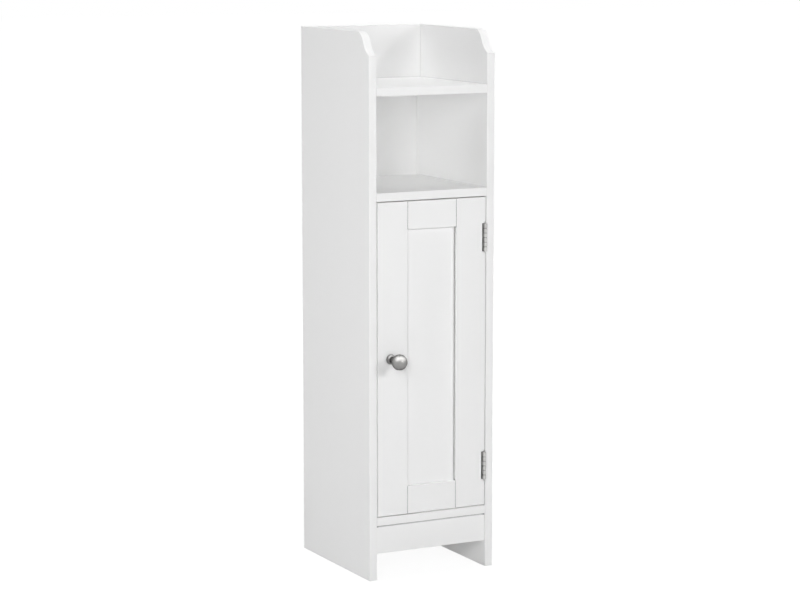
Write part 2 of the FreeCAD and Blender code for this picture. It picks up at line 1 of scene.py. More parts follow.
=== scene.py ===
import math
import bmesh
import bpy
from mathutils import Matrix, Vector


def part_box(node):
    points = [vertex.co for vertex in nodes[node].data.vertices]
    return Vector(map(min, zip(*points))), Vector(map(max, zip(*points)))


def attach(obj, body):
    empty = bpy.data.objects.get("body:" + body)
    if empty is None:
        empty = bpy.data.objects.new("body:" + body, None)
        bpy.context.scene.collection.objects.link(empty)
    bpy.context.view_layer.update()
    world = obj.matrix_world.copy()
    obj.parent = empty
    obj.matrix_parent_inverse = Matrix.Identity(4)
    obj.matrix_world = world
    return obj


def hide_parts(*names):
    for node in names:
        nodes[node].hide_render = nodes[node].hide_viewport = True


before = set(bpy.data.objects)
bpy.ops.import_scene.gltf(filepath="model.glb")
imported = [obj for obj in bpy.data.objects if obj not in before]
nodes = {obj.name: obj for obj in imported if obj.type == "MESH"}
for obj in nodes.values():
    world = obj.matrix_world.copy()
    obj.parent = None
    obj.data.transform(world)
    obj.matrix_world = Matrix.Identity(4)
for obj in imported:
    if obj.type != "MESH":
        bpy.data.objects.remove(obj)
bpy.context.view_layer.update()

scene = bpy.context.scene
print("frame loaded with", len(nodes), "CAD nodes")


# camera, at the photograph's viewpoint

camera = {
    "target": Vector((0.00429, -0.00222, 0.3844)),
    "yaw": math.radians(27.3),  # the viewer stands to the left of the front
    "pitch": math.radians(8.575),  # and looks down a little
    "distance": 3.6752,
    "lens": 113.23,  # millimetres, as the sensor
    "sensor": 36.0,
    "clipEnd": 200.0,
}


def placeCamera():
    yaw, pitch = camera["yaw"], camera["pitch"]
    flat = math.cos(pitch)
    forward = Vector((math.sin(yaw) * flat, math.cos(yaw) * flat, -math.sin(pitch)))
    data = bpy.data.cameras.new("photoCamera")
    data.lens = camera["lens"]
    data.sensor_width = camera["sensor"]
    data.clip_end = camera["clipEnd"]
    viewer = bpy.data.objects.new("photoCamera", data)
    viewer.location = camera["target"] - forward * camera["distance"]
    viewer.rotation_euler = forward.to_track_quat("-Z", "Y").to_euler()
    scene.collection.objects.link(viewer)
    scene.camera = viewer


placeCamera()
print("camera placed")


# shader nodes

colourMix = {"factor": 0, "first": 6, "second": 7, "result": 2}  # the Mix node's sockets for colours


def setSocket(tree, socket, value):
    if isinstance(value, bpy.types.NodeSocket):
        tree.links.new(value, socket)
    else:
        socket.default_value = value


def addNode(tree, kind, settings=None, **sockets):
    # a socket's name has _ for each space
    node = tree.nodes.new(kind)
    for name, value in (settings or {}).items():
        setattr(node, name, value)
    for name, value in sockets.items():
        setSocket(tree, node.inputs[name.replace("_", " ")], value)
    return node


def addOperation(tree, kind, operation, values):
    node = addNode(tree, kind, {"operation": operation})
    for socket, value in zip(node.inputs, values):
        setSocket(tree, socket, value)
    return node.outputs


def addMath(tree, operation, *values):
    return addOperation(tree, "ShaderNodeMath", operation, values)[0]


def addVector(tree, operation, *values, result="Vector"):
    return addOperation(tree, "ShaderNodeVectorMath", operation, values)[result]


def addRange(tree, value, limits, results=(0.0, 1.0)):
    low, high = limits
    newLow, newHigh = results
    node = addNode(
        tree, "ShaderNodeMapRange", Value=value, From_Min=low, From_Max=high, To_Min=newLow, To_Max=newHigh,
    )
    return node.outputs[0]


def addMix(tree, factor, first, second):
    node = addNode(tree, "ShaderNodeMix", {"data_type": "RGBA"})
    for label, value in (("factor", factor), ("first", first), ("second", second)):
        setSocket(tree, node.inputs[colourMix[label]], value)
    return node.outputs[colourMix["result"]]


def addNoise(tree, place, scale, detail, roughness=0.5, distortion=0.0):
    node = addNode(
        tree, "ShaderNodeTexNoise",
        Vector=place, Scale=scale, Detail=detail, Roughness=roughness, Distortion=distortion,
    )
    return node.outputs[0]


def objectPlace(tree):
    return tree.nodes.new("ShaderNodeTexCoord").outputs["Object"]


def grey(tone):
    return (tone, tone, tone, 1.0)


def newGroup(name, inputs, outputs):
    # inputs give their plain values, numbers or vectors; every output is a number
    tree = bpy.data.node_groups.new(name, "ShaderNodeTree")
    for label, value in inputs.items():
        kind = "NodeSocketFloat" if isinstance(value, float) else "NodeSocketVector"
        tree.interface.new_socket(label, in_out="INPUT", socket_type=kind).default_value = value
    for label in outputs:
        tree.interface.new_socket(label, in_out="OUTPUT", socket_type="NodeSocketFloat")
    return tree, tree.nodes.new("NodeGroupInput").outputs, tree.nodes.new("NodeGroupOutput").inputs


# shared effects

skinPattern = {
    "peelScale": 700.0,
    "peelDetail": 2.0,
    "peelRoughness": 0.45,
    "waveScale": 22.0,
    "waveDetail": 1.0,
    "waveShare": 0.6,
    "cloudScale": 6.0,
    "cloudDetail": 4.0,
    "cloudRoughness": 0.6,
    "cloudRange": (0.3, 0.7),
}


def makeSprayedSkin():
    # fine orange peel on a slow wave, as sprayed lacquer dries on fibreboard
    inputs = {
        "Peel Scale": skinPattern["peelScale"],
        "Wave Scale": skinPattern["waveScale"],
        "Wave Share": skinPattern["waveShare"],
    }
    tree, given, out = newGroup("sprayedSkin", inputs, ("Height", "Cloud"))
    place = objectPlace(tree)
    peel = addNoise(
        tree, place, given["Peel Scale"], skinPattern["peelDetail"], skinPattern["peelRoughness"],
    )
    wave = addNoise(tree, place, given["Wave Scale"], skinPattern["waveDetail"])
    cloud = addNoise(
        tree, place, skinPattern["cloudScale"], skinPattern["cloudDetail"], skinPattern["cloudRoughness"],
    )
    slow = addMath(tree, "MULTIPLY", wave, given["Wave Share"])
    tree.links.new(addMath(tree, "ADD", peel, slow), out["Height"])
    tree.links.new(addRange(tree, cloud, skinPattern["cloudRange"]), out["Cloud"])
    return tree


edgePattern = {
    "width": 0.0012,
    "samples": 6,
    "bend": (0.995, 0.80),  # cosine between the softened and the true normal, from a flat to an edge
    "breakup": 90.0,
    "detail": 3.0,
    "patchRange": (0.35, 0.65),
    "patchShares": (0.35, 1.0),
}


def makeEdgeMask():
    # a mask along the edges, broken up so that it is not an even line
    inputs = {"Width": edgePattern["width"], "Breakup": edgePattern["breakup"]}
    tree, given, out = newGroup("edgeMask", inputs, ("Mask",))
    soft = addNode(tree, "ShaderNodeBevel", {"samples": edgePattern["samples"]}, Radius=given["Width"])
    surface = tree.nodes.new("ShaderNodeNewGeometry").outputs
    turned = addVector(tree, "DOT_PRODUCT", soft.outputs[0], surface["Normal"], result="Value")
    bend = addRange(tree, turned, edgePattern["bend"])
    noise = addNoise(tree, objectPlace(tree), given["Breakup"], edgePattern["detail"])
    patchy = addRange(tree, noise, edgePattern["patchRange"], edgePattern["patchShares"])
    tree.links.new(addMath(tree, "MULTIPLY", bend, patchy), out["Mask"])
    return tree


seamPattern = {
    "reach": 0.002,
    "samples": 8,
    "openness": (0.97, 0.6),  # from no painted shade to full
    "ledgeFacing": (0.2, 0.7),  # from a wall to a ledge
    "ledgeShade": 0.0,  # how much painted shade stays on faces that look up, where the top light falls
    "middle": (0.0, 0.0, 0.0),
    "half": (1.0, 1.0, 1.0),  # wider than the cabinet
    "endFade": (0.0002, 0.0006),
}


def makeOcclusionShade():
    # painted shade: a mask from ambient occlusion in grooves, recesses and inner corners, where shade falls
    # it ends at the outline that Middle and Half give, so that the gaps round a door get no painted shade
    inputs = {
        "Reach": seamPattern["reach"],
        "Ledges": seamPattern["ledgeShade"],
        "Middle": seamPattern["middle"],
        "Half": seamPattern["half"],
    }
    tree, given, out = newGroup("seamShade", inputs, ("Mask",))
    covered = addNode(
        tree, "ShaderNodeAmbientOcclusion", {"samples": seamPattern["samples"]}, Distance=given["Reach"],
    )
    closed = addRange(tree, covered.outputs["AO"], seamPattern["openness"])
    place = tree.nodes.new("ShaderNodeTexCoord").outputs
    facing = addNode(tree, "ShaderNodeSeparateXYZ", Vector=place["Normal"]).outputs
    # faces that look up catch the top light, so they get less of the painted shade
    shadedFacing = addRange(tree, facing["Z"], seamPattern["ledgeFacing"], (1.0, given["Ledges"]))
    away = addVector(tree, "ABSOLUTE", addVector(tree, "SUBTRACT", place["Object"], given["Middle"]))
    left = addVector(tree, "SUBTRACT", given["Half"], away)
    inset = addNode(tree, "ShaderNodeSeparateXYZ", Vector=left).outputs
    inner = addRange(tree, addMath(tree, "MINIMUM", inset["X"], inset["Z"]), seamPattern["endFade"])
    mask = addMath(tree, "MULTIPLY", addMath(tree, "MULTIPLY", closed, shadedFacing), inner)
    tree.links.new(mask, out["Mask"])
    return tree


handlingPattern = {
    "base": 0.4,
    "drift": 0.08,
    "scale": 14.0,
    "detail": 5.0,
    "roughness": 0.65,
    "range": (0.25, 0.75),
}


def makeHandling():
    # roughness that drifts where hands and cloths have been
    inputs = {
        "Base": handlingPattern["base"],
        "Drift": handlingPattern["drift"],
        "Scale": handlingPattern["scale"],
    }
    tree, given, out = newGroup("handling", inputs, ("Roughness",))
    noise = addNoise(
        tree, objectPlace(tree), given["Scale"], handlingPattern["detail"], handlingPattern["roughness"],
    )
    swing = addMath(
        tree, "MULTIPLY", addRange(tree, noise, handlingPattern["range"], (-1.0, 1.0)), given["Drift"],
    )
    tree.links.new(addMath(tree, "ADD", given["Base"], swing), out["Roughness"])
    return tree


drawnPattern = {
    "scale": 900.0,
    "detail": 3.0,
    "roughness": 0.6,
    "lineShare": 0.4,
    "blotchScale": 160.0,
    "blotchDetail": 3.0,
    "blotchShare": 0.6,
    "toneRange": (0.35, 0.65),
}


def makeDrawnMetal():
    # long fine lines along one direction, which the material sets with its Mapping node
    inputs = {"Vector": (0.0, 0.0, 0.0), "Scale": drawnPattern["scale"]}
    tree, given, out = newGroup("drawnMetal", inputs, ("Height", "Tone"))
    fine = addNoise(
        tree, given["Vector"], given["Scale"], drawnPattern["detail"], drawnPattern["roughness"],
    )
    blotch = addNoise(tree, objectPlace(tree), drawnPattern["blotchScale"], drawnPattern["blotchDetail"])
    patches = addMath(tree, "MULTIPLY", blotch, drawnPattern["blotchShare"])
    mixed = addMath(tree, "MULTIPLY_ADD", fine, drawnPattern["lineShare"], patches)
    tree.links.new(fine, out["Height"])
    tree.links.new(addRange(tree, mixed, drawnPattern["toneRange"]), out["Tone"])
    return tree


sprayedSkin = makeSprayedSkin()
edgeMask = makeEdgeMask()
seamShade = makeOcclusionShade()
handling = makeHandling()
drawnMetal = makeDrawnMetal()
print("shared effects made")


# finishes

def useGroup(tree, group, **sockets):
    return addNode(tree, "ShaderNodeGroup", {"node_tree": group}, **sockets).outputs


def newFinish(name, **sockets):
    material = bpy.data.materials.new(name)
    material.use_nodes = True
    tree = material.node_tree
    shader = tree.nodes["Principled BSDF"]
    for label, value in sockets.items():
        shader.inputs[label.replace("_", " ")].default_value = value
    return material, tree, shader


def feedShader(tree, shader, tone, roughness, height, strength, distance):
    bump = addNode(tree, "ShaderNodeBump", Height=height, Strength=strength, Distance=distance)
    for label, source in (("Base Color", tone), ("Roughness", roughness), ("Normal", bump.outputs[0])):
        tree.links.new(source, shader.inputs[label])


lacquer = {
    "white": (0.95, 0.95, 0.95, 1.0),
    "cloud": (0.938, 0.938, 0.936, 1.0),
    "edge": (0.85, 0.85, 0.845, 1.0),
    "edgeWidth": 0.0014,
    "edgeShare": 0.6,
    # painted shade: the colour that grooves, recesses and inner corners darken towards, and on the case's
    # boards how dark and how far it reaches
    "seam": (0.14, 0.14, 0.137, 1.0),
    "boardShades": [(0.15, 0.002)],
    "specular": 0.3,
    "roughness": 0.42,
    "drift": 0.05,
    "peelStrength": 0.16,
    "peelDistance": 0.00012,
}


def makeLacquer(name, seams, **outline):
    # shades: how dark the painted shade is and how far it reaches from the corner, one pair for each layer
    material, tree, shader = newFinish(name, Specular_IOR_Level=lacquer["specular"])
    skin = useGroup(tree, sprayedSkin)
    edging = useGroup(tree, edgeMask, Width=lacquer["edgeWidth"])
    gloss = useGroup(tree, handling, Base=lacquer["roughness"], Drift=lacquer["drift"])
    body = addMix(tree, skin["Cloud"], lacquer["white"], lacquer["cloud"])
    edgeWearAndShade = addMath(tree, "MULTIPLY", edging["Mask"], lacquer["edgeShare"])
    tone = addMix(tree, edgeWearAndShade, body, lacquer["edge"])
    # painted shade from ambient occlusion, one layer for each pair
    for depth, reach in seams:
        shade = useGroup(tree, seamShade, Reach=reach, **outline)
        tone = addMix(tree, addMath(tree, "MULTIPLY", shade["Mask"], depth), tone, lacquer["seam"])
    feedShader(
        tree, shader, tone, gloss["Roughness"], skin["Height"],
        lacquer["peelStrength"], lacquer["peelDistance"],
    )
    return material


hardboard = {
    "face": (0.95, 0.95, 0.95, 1.0),
    "faceCloud": (0.938, 0.938, 0.936, 1.0),
    "raw": (0.45, 0.31, 0.19, 1.0),
    "rawDark": (0.27, 0.175, 0.1, 1.0),
    "specular": 0.35,
    "peelScale": 420.0,
    "roughness": 0.5,
    "rawRougher": 0.25,
    "drift": 0.06,
    "rearFacing": (0.4, 0.6),
    "fibreScale": 520.0,
    "fibreDetail": 6.0,
    "flakeScale": 120.0,
    "flakeDetail": 5.0,
    "grainRoughness": 0.75,
    "mottleRange": (0.08, 0.45),
    "bumpStrength": 0.2,
    "bumpDistance": 0.00015,
}


def makeHardboard():
    # white foil on the inside, bare pressed fibre on the side that faces the wall
    material, tree, shader = newFinish("facedHardboard", Specular_IOR_Level=hardboard["specular"])
    skin = useGroup(tree, sprayedSkin, Peel_Scale=hardboard["peelScale"])
    gloss = useGroup(tree, handling, Base=hardboard["roughness"], Drift=hardboard["drift"])
    place = tree.nodes.new("ShaderNodeTexCoord").outputs
    facing = addNode(tree, "ShaderNodeSeparateXYZ", Vector=place["Normal"]).outputs
    rear = addRange(tree, facing["Y"], hardboard["rearFacing"])
    grain = hardboard["grainRoughness"]
    fibre = addNoise(tree, place["Object"], hardboard["fibreScale"], hardboard["fibreDetail"], grain)
    flakes = addNoise(tree, place["Object"], hardboard["flakeScale"], hardboard["flakeDetail"], grain)
    mottle = addMath(tree, "MULTIPLY", fibre, flakes)
    raw = addMix(
        tree, addRange(tree, mottle, hardboard["mottleRange"]), hardboard["rawDark"], hardboard["raw"],
    )
    face = addMix(tree, skin["Cloud"], hardboard["face"], hardboard["faceCloud"])
    tone = addMix(tree, rear, face, raw)
    rough = addMath(tree, "MULTIPLY_ADD", rear, hardboard["rawRougher"], gloss["Roughness"])
    height = addMath(tree, "MULTIPLY_ADD", rear, mottle, skin["Height"])
    feedShader(tree, shader, tone, rough, height, hardboard["bumpStrength"], hardboard["bumpDistance"])
    return material


metalSurface = {
    "edgeBandWidth": 0.0005,
    "edgeBandBreakup": 400.0,
    "glossScale": 120.0,
    # painted shade in grooves and hollows: its colour and how much of it
    "seam": (0.03, 0.03, 0.03, 1.0),
    "seamShare": 0.8,
    "ledgeShade": 1.0,  # small parts keep the painted shade on faces that look up too
    "bumpDistance": 0.00005,
}

# rim tints the glancing reflection, and stretch lays the drawn lines along an axis
metals = {
    "dullNickel": {
        "dark": (0.4, 0.397, 0.39, 1.0),
        "plain": (0.58, 0.577, 0.57, 1.0),
        # the hinge's dark edges and its far shade reach are painted shade in the knuckle grooves and in the
        # slot beside the barrel
        "edgeWearAndShade": (0.13, 0.128, 0.125, 1.0),
        "rim": 0.4,
        "roughness": 0.42,
        "drift": 0.06,
        "stretch": (1.0, 1.0, 0.06),
        "scale": 1400.0,
        "bump": 0.12,
        "seamReach": 0.0018,
    },
    "brightZinc": {
        "dark": (0.50, 0.50, 0.51, 1.0),
        "plain": (0.62, 0.62, 0.63, 1.0),
        "edgeWearAndShade": (0.72, 0.72, 0.73, 1.0),
        "rim": 0.8,
        "roughness": 0.30,
        "drift": 0.06,
        "stretch": (1.0, 1.0, 1.0),
        "scale": 1800.0,
        "bump": 0.1,
        "seamReach": 0.0006,
    },
    "castZinc": {
        "dark": (0.38, 0.38, 0.39, 1.0),
        "plain": (0.50, 0.50, 0.51, 1.0),
        "edgeWearAndShade": (0.62, 0.62, 0.63, 1.0),
        "rim": 0.9,
        "roughness": 0.46,
        "drift": 0.08,
        "stretch": (1.0, 1.0, 1.0),
        "scale": 2200.0,
        "bump": 0.4,
        "seamReach": 0.0006,
    },
    "satinNickel": {
        "dark": (0.25, 0.247, 0.242, 1.0),
        "plain": (0.31, 0.307, 0.302, 1.0),
        "edgeWearAndShade": (0.38, 0.375, 0.37, 1.0),
        "rim": 0.1,
        "roughness": 0.42,
        "drift": 0.04,
        "stretch": (1.0, 0.1, 1.0),
        "scale": 1600.0,
        "bump": 0.08,
        # the shade reaches far here: painted shade on the knob's base and neck under the ball
        "seamReach": 0.016,
    },
}


def makeMetal(name):
    metal = metals[name]
    material, tree, shader = newFinish(name, Metallic=1.0, Specular_Tint=grey(metal["rim"]))
    laid = addNode(tree, "ShaderNodeMapping", Vector=objectPlace(tree), Scale=metal["stretch"])
    grain = useGroup(tree, drawnMetal, Vector=laid.outputs[0], Scale=metal["scale"])
    edging = useGroup(tree, edgeMask, Width=metalSurface["edgeBandWidth"], Breakup=metalSurface["edgeBandBreakup"])
    gloss = useGroup(
        tree, handling, Base=metal["roughness"], Drift=metal["drift"], Scale=metalSurface["glossScale"],
    )
    # painted shade from ambient occlusion in grooves and hollows
    seam = useGroup(tree, seamShade, Reach=metal["seamReach"], Ledges=metalSurface["ledgeShade"])
    body = addMix(tree, grain["Tone"], metal["dark"], metal["plain"])
    # the edge tone is lighter wear on most metals and painted shade on the hinge
    wornAndShaded = addMix(tree, edging["Mask"], body, metal["edgeWearAndShade"])
    shaded = addMath(tree, "MULTIPLY", seam["Mask"], metalSurface["seamShare"])
    tone = addMix(tree, shaded, wornAndShaded, metalSurface["seam"])
    feedShader(
        tree, shader, tone, gloss["Roughness"], grain["Height"], metal["bump"], metalSurface["bumpDistance"],
    )
    return material


beech = {
    "light": (0.66, 0.46, 0.28, 1.0),
    "dark": (0.52, 0.33, 0.18, 1.0),
    "fleck": (0.34, 0.2, 0.1, 1.0),
    "stretch": (0.08, 1.0, 1.0),  # the grain runs along the dowels
    "ringScale": 700.0,
    "ringDetail": 5.0,
    "ringBend": 0.6,
    "ringRange": (0.3, 0.7),
    "fleckScale": 1500.0,
    "fleckRange": (0.0, 0.25),
    "fleckShares": (0.25, 0.0),
    "roughness": 0.65,
    "drift": 0.08,
    "glossScale": 80.0,
    "bumpStrength": 0.3,
    "bumpDistance": 0.0001,
}


def makeBeech():
    material, tree, shader = newFinish("bareBeech")
    laid = addNode(tree, "ShaderNodeMapping", Vector=objectPlace(tree), Scale=beech["stretch"]).outputs[0]
    rings = addNoise(tree, laid, beech["ringScale"], beech["ringDetail"], distortion=beech["ringBend"])
    flecks = addNode(tree, "ShaderNodeTexVoronoi", Vector=laid, Scale=beech["fleckScale"]).outputs[0]
    gloss = useGroup(
        tree, handling, Base=beech["roughness"], Drift=beech["drift"], Scale=beech["glossScale"],
    )
    wood = addMix(tree, addRange(tree, rings, beech["ringRange"]), beech["light"], beech["dark"])
    flecked = addRange(tree, flecks, beech["fleckRange"], beech["fleckShares"])
    tone = addMix(tree, flecked, wood, beech["fleck"])
    feedShader(
        tree, shader, tone, gloss["Roughness"], rings, beech["bumpStrength"], beech["bumpDistance"],
    )
    return material


plastic = {
    "body": (0.80, 0.79, 0.77, 1.0),
    "cloud": (0.76, 0.75, 0.72, 1.0),
    "edge": (0.84, 0.835, 0.82, 1.0),
    "peelScale": 1800.0,
    "waveScale": 60.0,
    "waveShare": 0.2,
    "edgeWidth": 0.0008,
    "edgeBreakup": 200.0,
    "roughness": 0.46,
    "drift": 0.06,
    "glossScale": 60.0,
    "bumpStrength": 0.35,
    "bumpDistance": 0.00006,
}


def makePlastic():
    material, tree, shader = newFinish("mouldedPlastic")
    skin = useGroup(
        tree, sprayedSkin,
        Peel_Scale=plastic["peelScale"], Wave_Scale=plastic["waveScale"], Wave_Share=plastic["waveShare"],
    )
    edging = useGroup(tree, edgeMask, Width=plastic["edgeWidth"], Breakup=plastic["edgeBreakup"])
    gloss = useGroup(
        tree, handling, Base=plastic["roughness"], Drift=plastic["drift"], Scale=plastic["glossScale"],
    )
    body = addMix(tree, skin["Cloud"], plastic["body"], plastic["cloud"])
    tone = addMix(tree, edging["Mask"], body, plastic["edge"])
    feedShader(
        tree, shader, tone, gloss["Roughness"], skin["Height"],
        plastic["bumpStrength"], plastic["bumpDistance"],
    )
    return material


ferrite = {
    "dark": (0.045, 0.045, 0.05, 1.0),
    "light": (0.085, 0.085, 0.09, 1.0),
    "edge": (0.16, 0.16, 0.165, 1.0),
    "grainScale": 2600.0,
    "grainRange": (0.0, 0.6),
    "edgeWidth": 0.0006,
    "edgeBreakup": 300.0,
    "roughness": 0.55,
    "drift": 0.1,
    "glossScale": 200.0,
    "bumpStrength": 0.4,
    "bumpDistance": 0.00005,
}


def makeFerrite():
    material, tree, shader = newFinish("sinteredFerrite")
    grains = addNode(
        tree, "ShaderNodeTexVoronoi", Vector=objectPlace(tree), Scale=ferrite["grainScale"],
    ).outputs[0]
    gloss = useGroup(
        tree, handling, Base=ferrite["roughness"], Drift=ferrite["drift"], Scale=ferrite["glossScale"],
    )
    edging = useGroup(tree, edgeMask, Width=ferrite["edgeWidth"], Breakup=ferrite["edgeBreakup"])
    body = addMix(tree, addRange(tree, grains, ferrite["grainRange"]), ferrite["dark"], ferrite["light"])
    tone = addMix(tree, edging["Mask"], body, ferrite["edge"])
    feedShader(
        tree, shader, tone, gloss["Roughness"], grains, ferrite["bumpStrength"], ferrite["bumpDistance"],
    )
    return material


def boxOf(points):
    # the lowest and the highest corner
    return tuple(Vector(map(pick, zip(*points))) for pick in (min, max))


doorFrame = {
    "nodes": ("door_left_stile", "door_right_stile", "door_top_rail", "door_bottom_rail"),
    "seams": [(1.0, 0.0025), (0.32, 0.012)],  # painted shade in the frame's joints and along its recess round the panel
    "hingeClear": 0.009,  # the painted shade stops this far inside the frame's sides, so the hinge notches stay white
}


def makeFrameLacquer():
    low, high = boxOf([corner for nodeName in doorFrame["nodes"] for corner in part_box(nodeName)])
    clear = Vector((doorFrame["hingeClear"], 0.0, 0.0))
    half = (high - low) / 2 - clear
    return makeLacquer("frameLacquer", doorFrame["seams"], Middle=(low + high) / 2, Half=half)


kickPlate = {
    # the kick plate gets a band of painted shadow under the bottom shelf's front edge
    "seams": [(0.9, 0.005)],
    "band": 0.003,  # painted shadow only this far below the shelf
}


def makeKickLacquer():
    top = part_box("kick_plate")[1].z
    half = (*seamPattern["half"][:2], kickPlate["band"])
    return makeLacquer("kickLacquer", kickPlate["seams"], Middle=(0.0, 0.0, top), Half=half)


finishes = {
    "painted_board": makeLacquer("whiteLacquer", lacquer["boardShades"]),
    "back_board": makeHardboard(),
    "hinge_steel": makeMetal("dullNickel"),
    "screw_steel": makeMetal("brightZinc"),
    "cam_zinc": makeMetal("castZinc"),
    "dowel_beech": makeBeech(),
    "knob_nickel": makeMetal("satinNickel"),
    "catch_plastic": makePlastic(),
    "magnet_ferrite": makeFerrite(),
}
ownFinish = dict.fromkeys(doorFrame["nodes"], makeFrameLacquer())
ownFinish["kick_plate"] = makeKickLacquer()
for nodeName, node in nodes.items():
    for holder in node.material_slots:
        holder.material = ownFinish.get(nodeName, finishes[holder.material.name])
print("finishes made:", ", ".join(finish.name for finish in finishes.values()))


# meshes

meshing = {
    "mergeNew": 1e-7,  # points nearer than this become one, in new pieces
    "mergeCad": 1e-6,  # and in copies of CAD nodes
    "sharpAngle": math.radians(35.0),
}


def finishPiece(name, bm, slotName, body):
    bmesh.ops.remove_doubles(bm, verts=bm.verts, dist=meshing["mergeNew"])
    bmesh.ops.recalc_face_normals(bm, faces=bm.faces)
    mesh = bpy.data.meshes.new(name)
    bm.to_mesh(mesh)
    bm.free()
    mesh.materials.append(finishes[slotName])
    mesh.polygons.foreach_set("use_smooth", [True] * len(mesh.polygons))
    mesh.set_sharp_from_angle(angle=meshing["sharpAngle"])
    piece = bpy.data.objects.new(name, mesh)
    scene.collection.objects.link(piece)
    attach(piece, body)
    return piece


def islands(nodeName):
    # the box of each separate solid of a CAD node
    bm = bmesh.new()
    bm.from_mesh(nodes[nodeName].data)
    bmesh.ops.remove_doubles(bm, verts=bm.verts, dist=meshing["mergeCad"])
    left = set(bm.verts)
    boxes = []
    while left:
        reached = [left.pop()]
        for vert in reached:
            for edge in vert.link_edges:
                other = edge.other_vert(vert)
                if other in left:
                    left.discard(other)
                    reached.append(other)
        boxes.append(boxOf([vert.co for vert in reached]))
    bm.free()
    return boxes


# knob, turned about its own axis with the foot at zero

toLeft, toRight = 1, -1  # where the middle of an arc lies from its run, seen with the rise upwards

knob = {
    "segments": 96,
    "baseRadius": 0.0064,
    "baseEdge": 0.0005,
    "baseThick": 0.0016,
    "neckRadius": 0.004,
    "neckLow": 0.006,
    "neckHigh": 0.015,
    "underRadius": 0.0055,
    "underRise": 0.003,
    "edgeSteps": 5,
    "flareSteps": 14,
    "underSteps": 8,
    "cheekSteps": 22,
    "ballSteps": 40,
}


def lineTo(bm, vert, radius, rise):
    end = bmesh.ops.extrude_vert_indiv(bm, verts=[vert])["verts"][0]
    end.co = Vector((radius, 0.0, rise))
    return end


def arcTo(bm, vert, radius, rise, bend, side, steps):
    # bend is the arc's own radius
    start = vert.co.copy()
    end = Vector((radius, 0.0, rise))
    chord = end - start
    across = Vector((-chord.z, 0.0, chord.x)).normalized() * side
    centre = (start + end) / 2 + across * math.sqrt(bend ** 2 - chord.length_squared / 4)
    turn = 2 * math.asin(chord.length / 2 / bend) * side
    made = bmesh.ops.spin(bm, geom=[vert], cent=centre, axis=(0.0, -1.0, 0.0), angle=turn, steps=steps)
    return made["geom_last"][0]


def lathe(bm, segments):
    bmesh.ops.spin(
        bm, geom=bm.verts[:] + bm.edges[:], cent=(0.0, 0.0, 0.0), axis=(0.0, 0.0, 1.0),
        angle=2 * math.pi, steps=segments, use_merge=True,
    )


def makeKnob():
    low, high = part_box("door_knob")
    foot = Vector(((low.x + high.x) / 2, high.y, (low.z + high.z) / 2))
    headRadius = (high.x - low.x) / 2
    reach = high.y - low.y
    headMid = reach - headRadius
    baseTop = knob["baseThick"]
    edge = knob["baseEdge"]
    underTop = knob["neckHigh"] + knob["underRise"]
    wide = headRadius - knob["underRadius"]
    deep = headMid - underTop
    cheek = (wide ** 2 + deep ** 2) / (2 * wide)  # joins the ball smoothly at its widest ring
    bm = bmesh.new()
    vert = bm.verts.new((0.0, 0.0, 0.0))
    vert = lineTo(bm, vert, knob["baseRadius"], 0.0)
    vert = lineTo(bm, vert, knob["baseRadius"], baseTop - edge)
    vert = arcTo(bm, vert, knob["baseRadius"] - edge, baseTop, edge, toLeft, knob["edgeSteps"])
    flare = knob["neckLow"] - baseTop
    vert = arcTo(bm, vert, knob["neckRadius"], knob["neckLow"], flare, toRight, knob["flareSteps"])
    vert = lineTo(bm, vert, knob["neckRadius"], knob["neckHigh"])
    vert = arcTo(bm, vert, knob["underRadius"], underTop, knob["underRise"], toRight, knob["underSteps"])
    vert = arcTo(bm, vert, headRadius, headMid, cheek, toLeft, knob["cheekSteps"])
    arcTo(bm, vert, 0.0, reach, headRadius, toLeft, knob["ballSteps"])
    lathe(bm, knob["segments"])
    toFront = Matrix.Translation(foot) @ Matrix.Rotation(math.pi / 2, 4, "X")
    bmesh.ops.transform(bm, matrix=toFront, verts=bm.verts)
    piece = finishPiece("knobTurned", bm, "knob_nickel", "door")
    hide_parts("door_knob")


makeKnob()
print("knob turned")


# screws with a cross recess

screwShape = {
    "segments": 32,
    "armShare": 0.62,  # reach, half width and depth of the recess, of the radius at the head's top
    "armWidthShare": 0.15,
    "recessShare": 0.5,
    "footShare": 0.55,  # the recess's foot, of its mouth
    "lift": 0.00004,  # how far the head stands out from its CAD solid
}

# rings from the top of the head to the tip: what the radius is a share of, and that share;
# what the drop below the last ring is a share of, and that share
screwRingShares = {
    "sunk": [
        ("head", 1.0, "head", 0.0),
        ("shank", 1.0, "head", 1.0),
        ("shank", 1.0, "shank", 0.85),
        ("shank", 0.2, "shank", 0.15),
    ],
    "pan": [
        ("head", 0.72, "head", 0.0),
        ("head", 0.9, "head", 0.12),
        ("head", 1.0, "head", 0.4),
        ("head", 1.0, "head", 0.48),
        ("shank", 1.0, "head", 0.0),
        ("shank", 1.0, "shank", 0.9),
        ("shank", 0.3, "shank", 0.1),
    ],
}

